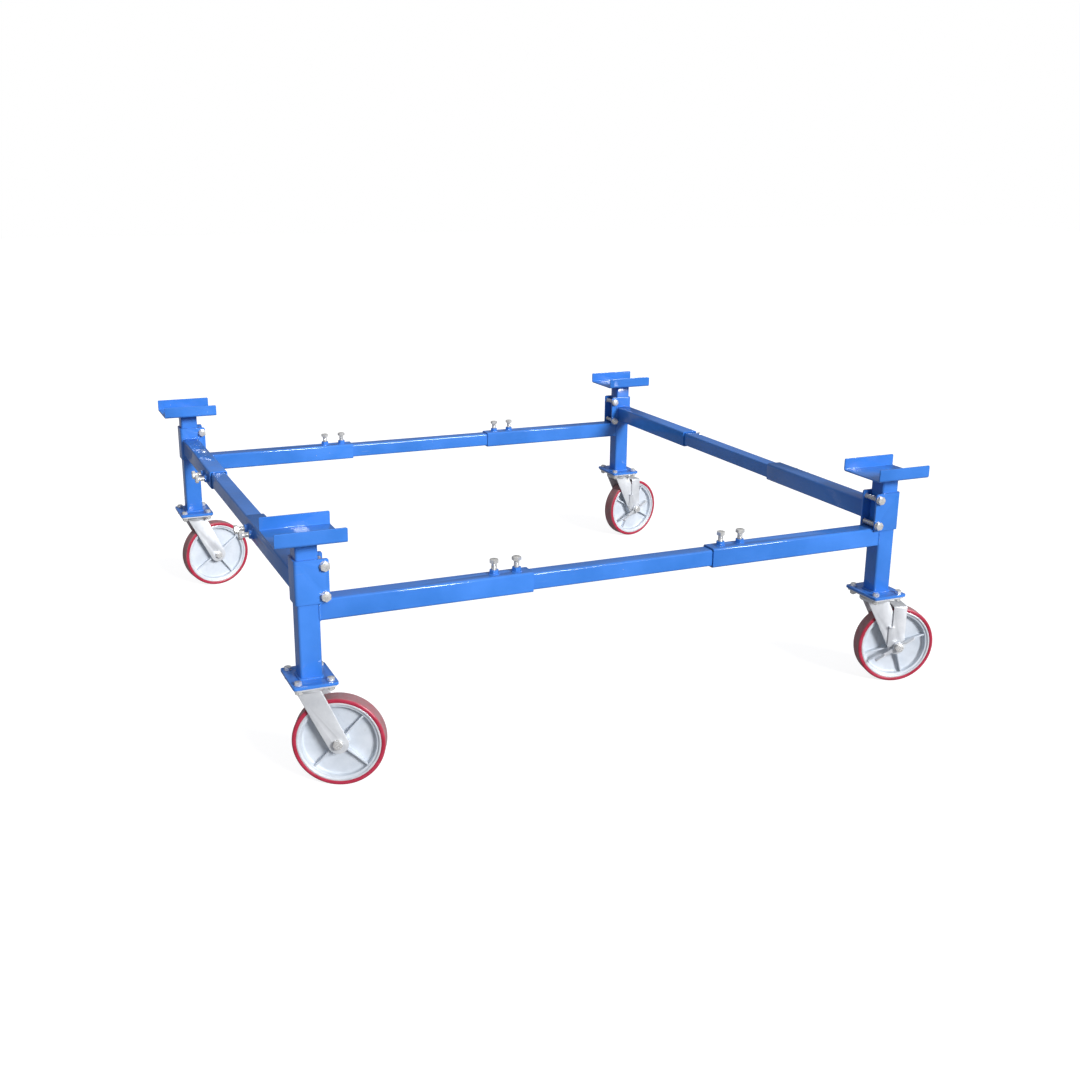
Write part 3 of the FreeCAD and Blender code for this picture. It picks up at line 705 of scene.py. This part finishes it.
def scatterTree():
    # sets a copy of one model on every point, turned by the point's own angles
    tree, given, output = newTree("set_fasteners", [("Fastener", "Object"),
                                                    ("Finish", "Material")])
    model = addNode(tree, "GeometryNodeObjectInfo", {"Object": given["Fastener"]},
                    transform_space="ORIGINAL")
    turn = addNode(tree, "GeometryNodeInputNamedAttribute", {"Name": "turn"},
                   data_type="FLOAT_VECTOR")
    copies = addNode(tree, "GeometryNodeInstanceOnPoints", {
        "Points": given["Geometry"], "Instance": model.outputs["Geometry"],
        "Rotation": turn.outputs["Attribute"],
    })
    closeTree(tree, copies.outputs["Instances"], given["Finish"], output)
    return tree


setFasteners = scatterTree()
spinChance = random.Random(11)


def bolted(name, model, places):
    # places is a list of (point under the head, way that the head points)
    mesh = bpy.data.meshes.new(name)
    mesh.from_pydata([place for place, _ in places], [], [])
    turns = mesh.attributes.new("turn", "FLOAT_VECTOR", "POINT")
    for item, (_, direction) in zip(turns.data, places):
        spin = Matrix.Rotation(spinChance.uniform(-0.5, 0.5), 4, "Z")
        turn = direction.to_track_quat("Z", "Y").to_matrix().to_4x4() @ spin
        item.vector = turn.to_euler()
    return grown(name, setFasteners, mesh, {"Fastener": model, "Finish": steel})


def fastened(node, model, places, body):
    piece = bolted(node + "_finished", model, places)
    finished(piece, [node], body)


def gripped(name, size, grip):
    # a bolt right through a grip, with a washer at each end, a nut and thread at the far one
    underHead = (grip + 2 * size["washer"] + bolting["nutPerThread"] * size["thread"]
                 + bolting["threadPastNut"])
    farFace = -grip - 2 * size["washer"]
    threadLength = min(underHead * bolting["threadShare"],
                       bolting["longestThread"] * size["thread"])
    return boltModel(name, size, underHead, threadLength, (-size["washer"], farFace), farFace)


plateSpan = (88 * mm, 115 * mm)      # between the four bolts of a base plate
plateThickness = 8 * mm
lockSpacing = 68 * mm
forkOutside = 34.9 * mm              # from the wheel's middle to the outside of a leg
brakeStack = 13.2 * mm               # arm, cam and gaps outside the leg of a braked caster

plateBolt = gripped("plate_bolt", threadSizes["plate"], threadSizes["plate"]["grip"])
clampReach = threadSizes["clamp"]["grip"] + threadSizes["clamp"]["washer"]
clampBolt = boltModel("clamp_bolt", threadSizes["clamp"], clampReach,
                      bolting["clampThreadShare"] * clampReach,
                      (-threadSizes["clamp"]["washer"],))
axleBolts = {
    False: gripped("axle_bolt", threadSizes["axle"], 2 * forkOutside),
    True: gripped("long_axle_bolt", threadSizes["axle"], 2 * forkOutside + brakeStack),
}
lockHead = bolting["headPerThread"] * threadSizes["lock"]["thread"]
low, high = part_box("x_lock_bolts_front_left")
lockReach = high.z - low.z - lockHead
lockBolt = boltModel("lock_bolt", threadSizes["lock"], lockReach,
                     lockReach - bolting["lockShoulder"])


def cornerBolts(corner):
    post = postCentre(corner)
    inX = inward(corner)[0]
    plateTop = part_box("caster_plate_" + corner)[1].z + plateThickness
    places = [(Vector((post.x + sx * plateSpan[0] / 2, post.y + sy * plateSpan[1] / 2,
                       plateTop + threadSizes["plate"]["washer"])), up)
              for sx in (-1, 1) for sy in (-1, 1)]
    fastened("plate_bolts_" + corner, plateBolt, places, corner + "_corner")

    low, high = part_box("clamp_bolts_" + corner)
    size = threadSizes["clamp"]
    rim = bolting["washerPerThread"] * size["thread"]
    outwards = Vector((0, -1, 0))
    underHead = size["grip"] / 2 + size["washer"]
    places = [(Vector(((low.x + high.x) / 2, post.y, level)) + outwards * underHead, outwards)
              for level in (low.z + rim, high.z - rim)]
    fastened("clamp_bolts_" + corner, clampBolt, places, corner + "_corner")

    low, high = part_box("x_lock_bolts_" + corner)
    middle = (low + high) / 2
    places = [(Vector((middle.x + side * lockSpacing / 2, middle.y, high.z - lockHead)), up)
              for side in (-1, 1)]
    fastened("x_lock_bolts_" + corner, lockBolt, places, corner + "_x_locks")

    low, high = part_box("y_lock_bolts_" + corner)
    middle = (low + high) / 2
    headX = low.x + lockHead if inX > 0 else high.x - lockHead
    places = [(Vector((headX, middle.y + side * lockSpacing / 2, middle.z)), Vector((-inX, 0, 0)))
              for side in (-1, 1)]
    fastened("y_lock_bolts_" + corner, lockBolt, places, corner + "_y_locks")


def axleBolt(corner):
    toWorld = wheelMatrix(corner)
    headWay = -(toWorld.to_3x3() @ up)
    reach = forkOutside + (brakeStack if hasBrake(corner) else 0.0) + threadSizes["axle"]["washer"]
    place = toWorld.to_translation() + headWay * reach
    fastened("axle_" + corner, axleBolts[hasBrake(corner)], [(place, headWay)], corner + "_fork")


for corner in cornerNames:
    cornerBolts(corner)
    axleBolt(corner)
for model in (plateBolt, clampBolt, lockBolt, *axleBolts.values()):
    bpy.data.objects.remove(model)
print("fasteners ready")


# wheels: a spun casting with ribs set around it, and the band moulded on the rim

wheel = {
    "radius": 127 * mm,
    "halfWidth": 25 * mm,
    "rimRadius": 115 * mm,
    "rimInset": 1.0 * mm,
    "lip": 6.0 * mm,            # width of the turned edge
    "rimDepth": 4.0 * mm,       # step from the turned edge down to the painted rim
    "rimThickness": 12 * mm,
    "webHalf": 4.5 * mm,
    "hubRadius": 24 * mm,
    "hubHalf": 28.5 * mm,
    "bore": 12.05 * mm,
    "ribs": 4,
    "ribHalfWidth": 2.6 * mm,
    "segments": 96,
    "firstRib": {"front_left": 48.0, "front_right": 17.0, "rear_left": 35.0, "rear_right": 60.0},
}


def wheelSide():
    # half of the casting's outline, from the bore out over one face to the rim
    lipTop = wheel["halfWidth"] - wheel["rimInset"]
    lipIn = wheel["rimRadius"] - wheel["lip"]
    step = lipTop - wheel["rimDepth"]
    rimIn = wheel["rimRadius"] - wheel["rimThickness"]
    web, hub, face = wheel["webHalf"], wheel["hubRadius"], wheel["hubHalf"]
    outline = [(wheel["bore"], face - 1 * mm), (wheel["bore"] + 1 * mm, face)]
    outline += [(hub - 6 * mm, face), (hub - 5 * mm, face - 1.5 * mm)]
    outline += arc((hub - 3 * mm, face - 4.5 * mm), 3 * mm, 90, 0, 4)
    outline += arc((hub + 7 * mm, web + 6 * mm), 6 * mm, 180, 270, 5)
    outline += arc((rimIn - 7 * mm, web + 6 * mm), 6 * mm, 270, 360, 5)
    outline += arc((rimIn + 1 * mm, step - 2 * mm), 2 * mm, 180, 90, 3)
    outline += [(lipIn - 1 * mm, step), (lipIn, step + 1 * mm)]
    lipStart = len(outline)
    outline += [(lipIn + 0.6 * mm, lipTop - 0.5 * mm), (lipIn + 1.2 * mm, lipTop)]
    outline += [(wheel["rimRadius"] - 0.5 * mm, lipTop), (wheel["rimRadius"], lipTop - 0.5 * mm)]
    return outline, lipStart


def castingMesh():
    side, lipStart = wheelSide()
    outline = side + [(radius, -height) for radius, height in reversed(side)]
    lipEnd = len(side) - 1

    def pick(step):
        mirrored = len(outline) - 2 - step
        return 1 if lipStart <= min(step, mirrored) < lipEnd else 0

    return meshFrom("casting", lambda mesh: spun(mesh, outline, wheel["segments"], True, pick), 50)


def bandMesh():
    inner = wheel["rimRadius"]
    outer, half, shoulder = wheel["radius"], wheel["halfWidth"], treadBand["shoulder"]
    upper = [(inner, half - 1.2 * mm), (inner + 1.2 * mm, half)]
    upper += arc((outer - shoulder, half - shoulder), shoulder, 90, 0, 7)
    upper += [(outer, half * 0.4)]
    outline = upper + [(radius, -height) for radius, height in reversed(upper)]
    mesh = meshFrom("band", lambda shape: spun(shape, outline, wheel["segments"] + 32), 60)
    dust = mesh.attributes.new("rollingDust", "FLOAT", "POINT")
    for item, vertex in zip(dust.data, mesh.vertices):
        depth = outer - math.hypot(vertex.co.x, vertex.co.y)
        item.value = max(0.0, min(1.0, 1.0 - depth / treadBand["dustEdge"]))
    return mesh


def ribModel():
    # one rib standing on both faces of the web, narrower and lower towards the rim
    near, far = wheel["hubRadius"] - 2 * mm, wheel["rimRadius"] - wheel["rimThickness"] + 1 * mm
    stations = [(near, wheel["hubHalf"] - 5 * mm, 1.25), ((near + far) / 2, 19.5 * mm, 1.0),
                (far, 17 * mm, 1.0)]

    def build(mesh):
        rings = []
        for reach, height, spread in stations:
            half = wheel["ribHalfWidth"] * spread
            rings.append([mesh.verts.new((reach, side * half, level * height))
                          for side, level in ((-1, -1), (1, -1), (1, 1), (-1, 1))])
        for here, there in zip(rings, rings[1:]):
            for i in range(4):
                j = (i + 1) % 4
                mesh.faces.new([here[i], here[j], there[j], there[i]])
        mesh.faces.new(rings[0])
        mesh.faces.new(rings[-1])

    piece = newPiece("rib", meshFrom("rib", build, 30))
    bevel = piece.modifiers.new("cast_edge", "BEVEL")
    bevel.width = 1.1 * mm
    bevel.segments = 3
    return baked(piece)


def ribTree():
    tree, given, output = newTree("ribs_around_hub", [
        ("Rib", "Object"), ("Count", "Int"), ("First Angle", "Float"), ("Finish", "Material"),
    ])
    spots = addNode(tree, "GeometryNodePoints", {"Count": given["Count"]})
    number = addNode(tree, "GeometryNodeInputIndex")
    share = addNode(tree, "ShaderNodeMath", {0: number.outputs[0], 1: given["Count"]},
                    operation="DIVIDE")
    angle = addNode(tree, "ShaderNodeMath", {0: share.outputs[0], 1: math.tau,
                                             2: given["First Angle"]}, operation="MULTIPLY_ADD")
    turn = addNode(tree, "ShaderNodeCombineXYZ", {"Z": angle.outputs[0]})
    model = addNode(tree, "GeometryNodeObjectInfo", {"Object": given["Rib"]},
                    transform_space="ORIGINAL")
    ribs = addNode(tree, "GeometryNodeInstanceOnPoints", {
        "Points": spots.outputs[0], "Instance": model.outputs["Geometry"],
        "Rotation": turn.outputs[0],
    })
    smooth = addNode(tree, "GeometryNodeSetShadeSmooth", {"Geometry": ribs.outputs["Instances"]})
    closeTree(tree, smooth.outputs["Geometry"], given["Finish"], output)
    return tree


def greaseNipple(mesh):
    profile = [(0, 6.5 * mm), (1.2 * mm, 6.5 * mm), (2.0 * mm, 5.6 * mm), (1.4 * mm, 4.6 * mm),
               (1.4 * mm, 3.6 * mm), (hexagonReach(7 * mm), 3.2 * mm), (hexagonReach(7 * mm), 0),
               (0, 0)]
    spun(mesh, profile, 24, closed=False)


ribsAroundHub = ribTree()
rib = ribModel()
for corner in cornerNames:
    toWorld = wheelMatrix(corner)
    body = corner + "_wheel"
    firstRib = -math.radians(wheel["firstRib"][corner])
    core = newPiece("wheel_core_" + corner + "_finished", castingMesh(), [iron, rimLip])
    band = newPiece("tread_" + corner + "_finished", bandMesh(), [polyurethane])
    ribs = grown("wheel_ribs_" + corner, ribsAroundHub, emptyMesh("ribs"), {
        "Rib": rib, "Count": wheel["ribs"], "First Angle": firstRib, "Finish": iron,
    })
    nipple = newPiece("grease_nipple_" + corner, meshFrom("nipple", greaseNipple), [steel])
    # on the hub's barrel, midway between two ribs, leaning along the web
    onHub = (Matrix.Rotation(firstRib + math.pi / 4, 4, "Z")
             @ Matrix.Translation((wheel["hubRadius"] - 1.0 * mm, 0, -19 * mm))
             @ Matrix.Rotation(math.pi / 2, 4, "Y"))
    nipple.data.transform(onHub)
    for piece in (core, band, ribs, nipple):
        piece.data.transform(toWorld)
    finished(core, ["wheel_core_" + corner], body)
    finished(band, ["tread_" + corner], body)
    finished(ribs, [], body)
    finished(nipple, [], body)
bpy.data.objects.remove(rib)
print("wheels ready")


# weld beads: rippled lines laid where the tubes and plates meet

weld = {
    "radius": 4.0 * mm,
    "smallRadius": 2.2 * mm,     # round the lock nuts
    "sunk": 1.3 * mm,            # how deep a bead sits in the groove beside a rounded corner
    "clear": 4.0 * mm,           # left bare next to a bolt or under a bracket
    "ripple": 2.6 * mm,          # from one ripple to the next
    "squash": 0.62,
    "seed": 5,
    "spacing": 3.0 * mm,         # between the points of a path
}


def weldTree():
    tree, given, output = newTree("weld_bead", [
        ("Bead Radius", "Float"), ("Ripple", "Float"), ("Seed", "Int"), ("Finish", "Material"),
    ])
    path = addNode(tree, "GeometryNodeMeshToCurve", {"Mesh": given["Geometry"]})
    even = addNode(tree, "GeometryNodeResampleCurve",
                   {"Curve": path.outputs["Curve"], "Length": given["Ripple"]}, mode="LENGTH")
    thin = addNode(tree, "ShaderNodeMath", {0: given["Bead Radius"], 1: 0.82},
                   operation="MULTIPLY")
    core = addNode(tree, "GeometryNodeCurvePrimitiveCircle",
                   {"Resolution": 8, "Radius": thin.outputs[0]})
    string = addNode(tree, "GeometryNodeCurveToMesh", {
        "Curve": even.outputs["Curve"], "Profile Curve": core.outputs["Curve"],
        "Fill Caps": True,
    })
    spots = addNode(tree, "GeometryNodeCurveToPoints", {"Curve": even.outputs["Curve"]},
                    mode="EVALUATED")
    drop = addNode(tree, "GeometryNodeMeshIcoSphere",
                   {"Radius": given["Bead Radius"], "Subdivisions": 2})
    jitter = addNode(tree, "FunctionNodeRandomValue", {
        0: (0.88, 0.88, weld["squash"]), 1: (1.08, 1.08, weld["squash"] * 1.2),
        "Seed": given["Seed"],
    }, data_type="FLOAT_VECTOR")
    ripples = addNode(tree, "GeometryNodeInstanceOnPoints", {
        "Points": spots.outputs["Points"], "Instance": drop.outputs["Mesh"],
        "Rotation": spots.outputs["Rotation"], "Scale": jitter.outputs["Value"],
    })
    bead = addNode(tree, "GeometryNodeJoinGeometry")
    for part in (string.outputs["Mesh"], ripples.outputs["Instances"]):
        tree.links.new(part, bead.inputs[0])
    smooth = addNode(tree, "GeometryNodeSetShadeSmooth", {"Geometry": bead.outputs[0]})
    closeTree(tree, smooth.outputs["Geometry"], given["Finish"], output)
    return tree


def tubeOutline(centre, across, along, side, corner):
    # evenly spaced points round a square tube's outside, in the plane of across and along
    points = []
    inset = side / 2 - corner
    arcSteps = 3
    for quarter in range(4):
        middle = math.tau * (quarter + 0.5) / 4
        hub = centre + across * math.copysign(inset, math.cos(middle)) \
            + along * math.copysign(inset, math.sin(middle))
        for step in range(arcSteps + 1):
            angle = math.tau * (quarter + step / arcSteps) / 4
            points.append(hub + across * corner * math.cos(angle)
                          + along * corner * math.sin(angle))
    return evenly(points + points[:1])[:-1]


def evenly(points):
    filled = []
    for start, end in zip(points, points[1:]):
        steps = max(1, round((end - start).length / weld["spacing"]))
        filled += [start.lerp(end, step / steps) for step in range(steps)]
    return filled + [points[-1]]


def stretches(outline, keep):
    # the runs of a closed outline where keep(point) holds; a whole outline stays closed
    if all(keep(point) for point in outline):
        return [outline + outline[:1]]
    first = next(k for k, point in enumerate(outline) if not keep(point))
    turned = outline[first:] + outline[:first]
    runs = [[]]
    for point in turned:
        if keep(point):
            runs[-1].append(point)
        elif runs[-1]:
            runs.append([])
    return [run for run in runs if len(run) > 2]


def ringAround(centre, normal, radius, steps=20):
    across = normal.orthogonal().normalized()
    other = normal.cross(across)
    ring = [centre + across * radius * math.cos(math.tau * k / steps)
            + other * radius * math.sin(math.tau * k / steps) for k in range(steps)]
    return ring + ring[:1]


def pathMesh(name, paths):
    # each path is a chain of edges; one that ends where it began is closed
    mesh = bmesh.new()
    for path in paths:
        closed = (path[0] - path[-1]).length < 1e-6
        points = path[:-1] if closed else path
        verts = [mesh.verts.new(point) for point in points]
        for here, there in zip(verts, verts[1:]):
            mesh.edges.new((here, there))
        if closed:
            mesh.edges.new((verts[-1], verts[0]))
    result = bpy.data.meshes.new(name)
    mesh.to_mesh(result)
    mesh.free()
    return result


tube = {
    "side": 60 * mm,
    "corner": 7 * mm,
    "wall": 5 * mm,              # from the inner tube's face to the sleeve's outside
    "bracket": 6 * mm,           # thickness of the bracket round the post
    "bracketRise": 209 * mm,     # from the base plate up to the bracket
    "nutRadius": 13.4 * mm,      # of the weld round a lock nut
}


def cornerWelds(corner):
    post = postCentre(corner)
    inX, inY = inward(corner)
    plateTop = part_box("caster_plate_" + corner)[1].z + plateThickness
    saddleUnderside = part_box("saddle_" + corner)[0].z
    bracketBottom = plateTop + tube["bracketRise"]
    half = tube["side"] / 2
    xAxis, yAxis = Vector((1, 0, 0)), Vector((0, 1, 0))
    lift = 0.6 * mm              # how far a bead's middle stands off the corner it fills

    def around(centre, across, along):
        return tubeOutline(centre, across, along, tube["side"] + 2 * lift, tube["corner"])

    paths = []
    # post to base plate, and post to saddle
    for level in (plateTop + lift, saddleUnderside - lift):
        outline = around(Vector((post.x, post.y, level)), xAxis, yAxis)
        paths.append(outline + outline[:1])
    # lower sleeve to post, left off behind the bracket's flanges
    low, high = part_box("inner_tube_" + ("front" if inY > 0 else "rear"))
    railLevel = (low.z + high.z) / 2
    joint = Vector((post.x + inX * (half - weld["sunk"]), post.y, railLevel))
    groove = tubeOutline(joint, yAxis, up, tube["side"] - 2 * weld["sunk"], tube["corner"])
    paths += stretches(groove,
                       lambda point: point.z < bracketBottom - weld["clear"]
                       or abs(point.y - post.y) < half - tube["corner"])
    # upper sleeve to bracket, left off round the clamp bolts
    low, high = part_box("inner_tube_" + ("left" if inX > 0 else "right"))
    railLevel = (low.z + high.z) / 2
    boltLow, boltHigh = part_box("clamp_bolts_" + corner)
    boltX = (boltLow.x + boltHigh.x) / 2
    rim = bolting["washerPerThread"] * threadSizes["clamp"]["thread"]
    boltReach = rim + weld["clear"]
    levels = (boltLow.z + rim, boltHigh.z - rim)

    def clearOfBolts(point):
        return all(math.hypot(point.x - boltX, point.z - level) > boltReach for level in levels)

    joint = Vector((post.x, post.y + inY * (half + tube["bracket"] + lift), railLevel))
    paths += stretches(around(joint, xAxis, up), clearOfBolts)
    beads = grown("welds_" + corner, weldBead, pathMesh("welds", paths), {
        "Bead Radius": weld["radius"], "Ripple": weld["ripple"], "Seed": weld["seed"],
        "Finish": paint,
    })
    finished(beads, [], corner + "_corner")

    # the nuts welded on the sleeves
    rings = []
    low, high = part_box("x_lock_bolts_" + corner)
    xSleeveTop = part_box("inner_tube_" + ("front" if inY > 0 else "rear"))[1].z + tube["wall"]
    middle = (low + high) / 2
    for side in (-1, 1):
        rings.append(ringAround(Vector((middle.x + side * lockSpacing / 2, middle.y, xSleeveTop)),
                                up, tube["nutRadius"]))
    low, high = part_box("y_lock_bolts_" + corner)
    middle = (low + high) / 2
    for side in (-1, 1):
        place = Vector((post.x - inX * half, middle.y + side * lockSpacing / 2, middle.z))
        rings.append(ringAround(place, xAxis, tube["nutRadius"]))
    collars = grown("nut_welds_" + corner, weldBead, pathMesh("nut_welds", rings), {
        "Bead Radius": weld["smallRadius"], "Ripple": weld["ripple"], "Seed": weld["seed"] + 1,
        "Finish": paint,
    })
    finished(collars, [], corner + "_corner")


weldBead = weldTree()
for corner in cornerNames:
    cornerWelds(corner)
print("welds ready")


# floor, light and camera

studio = {
    "cameraFromPost": (-0.7342, -3.1363),   # metres from the front left post's axis
    "cameraHeight": 1.6328,
    "yaw": 24.14,
    "pitch": 16.52,
    "roll": -0.56,
    "lens": 42.53,
    "floor": (0.34, 0.34, 0.35),
    "floorGlow": 0.84,           # lifts the floor for the camera only, so nothing mirrors it
    "skyTop": 0.56,
    "skyEdge": 0.10,
    "keyFrom": (0.29, -0.88, 0.42),
    "keyStrength": 3.8,
    "keySoftness": 18.0,
}


def placeCamera():
    camera = bpy.data.objects.new("camera", bpy.data.cameras.new("camera"))
    bpy.context.scene.collection.objects.link(camera)
    camera.data.sensor_width = 36.0
    camera.data.lens = studio["lens"]
    camera.data.clip_end = 60.0
    yaw, pitch, roll = (math.radians(studio[key]) for key in ("yaw", "pitch", "roll"))
    level = math.cos(pitch)
    ahead = Vector((math.sin(yaw) * level, math.cos(yaw) * level, -math.sin(pitch)))
    right = Vector((math.cos(yaw), -math.sin(yaw), 0))
    down = ahead.cross(right)
    rolledRight = right * math.cos(roll) + down * math.sin(roll)
    rolledDown = down * math.cos(roll) - right * math.sin(roll)
    turn = Matrix((rolledRight, -rolledDown, -ahead)).transposed()
    post = postCentre("front_left")
    fromPost = studio["cameraFromPost"]
    camera.matrix_world = Matrix.Translation(
        (post.x + fromPost[0], post.y + fromPost[1], studio["cameraHeight"])
    ) @ turn.to_4x4()
    bpy.context.scene.camera = camera


def layFloor():
    mesh = bpy.data.meshes.new("floor")
    half = 25.0
    corners = [(-half, -half, 0), (half, -half, 0), (half, half, 0), (-half, half, 0)]
    mesh.from_pydata(corners, [], [(0, 1, 2, 3)])
    material, tree, shader = newMaterial("pale_floor")
    shader.inputs["Base Color"].default_value = (*studio["floor"], 1)
    shader.inputs["Roughness"].default_value = 0.9
    shader.inputs["Specular IOR Level"].default_value = 0.05
    shader.inputs["Emission Color"].default_value = (1, 1, 1, 1)
    seen = tree.nodes.new("ShaderNodeLightPath").outputs["Is Camera Ray"]
    glow = combined(tree, "MULTIPLY", seen, studio["floorGlow"])
    tree.links.new(glow, shader.inputs["Emission Strength"])
    newPiece("floor", mesh, [material])


def lightStudio():
    # a soft sky that is dimmer near the horizon, and white where the camera sees past the floor
    world = bpy.data.worlds.new("studio")
    bpy.context.scene.world = world
    world.use_nodes = True
    tree = world.node_tree
    tree.nodes.clear()
    coords = tree.nodes.new("ShaderNodeTexCoord")
    split = tree.nodes.new("ShaderNodeSeparateXYZ")
    tree.links.new(coords.outputs["Generated"], split.inputs["Vector"])
    height = mapped(tree, split.outputs["Z"], 0.0, 0.8, studio["skyEdge"], studio["skyTop"])
    seen = tree.nodes.new("ShaderNodeLightPath").outputs["Is Camera Ray"]
    strength = combined(tree, "MAXIMUM", height, seen)
    background = tree.nodes.new("ShaderNodeBackground")
    tree.links.new(strength, background.inputs["Strength"])
    output = tree.nodes.new("ShaderNodeOutputWorld")
    tree.links.new(background.outputs["Background"], output.inputs["Surface"])
    background.inputs["Color"].default_value = (1, 1, 1, 1)

    key = bpy.data.objects.new("key_light", bpy.data.lights.new("key_light", "SUN"))
    bpy.context.scene.collection.objects.link(key)
    key.data.energy = studio["keyStrength"]
    key.data.angle = math.radians(studio["keySoftness"])
    key.rotation_euler = Vector(studio["keyFrom"]).to_track_quat("Z", "Y").to_euler()
    bpy.context.scene.view_settings.view_transform = "Standard"


placeCamera()
layFloor()
lightStudio()
print("studio ready")
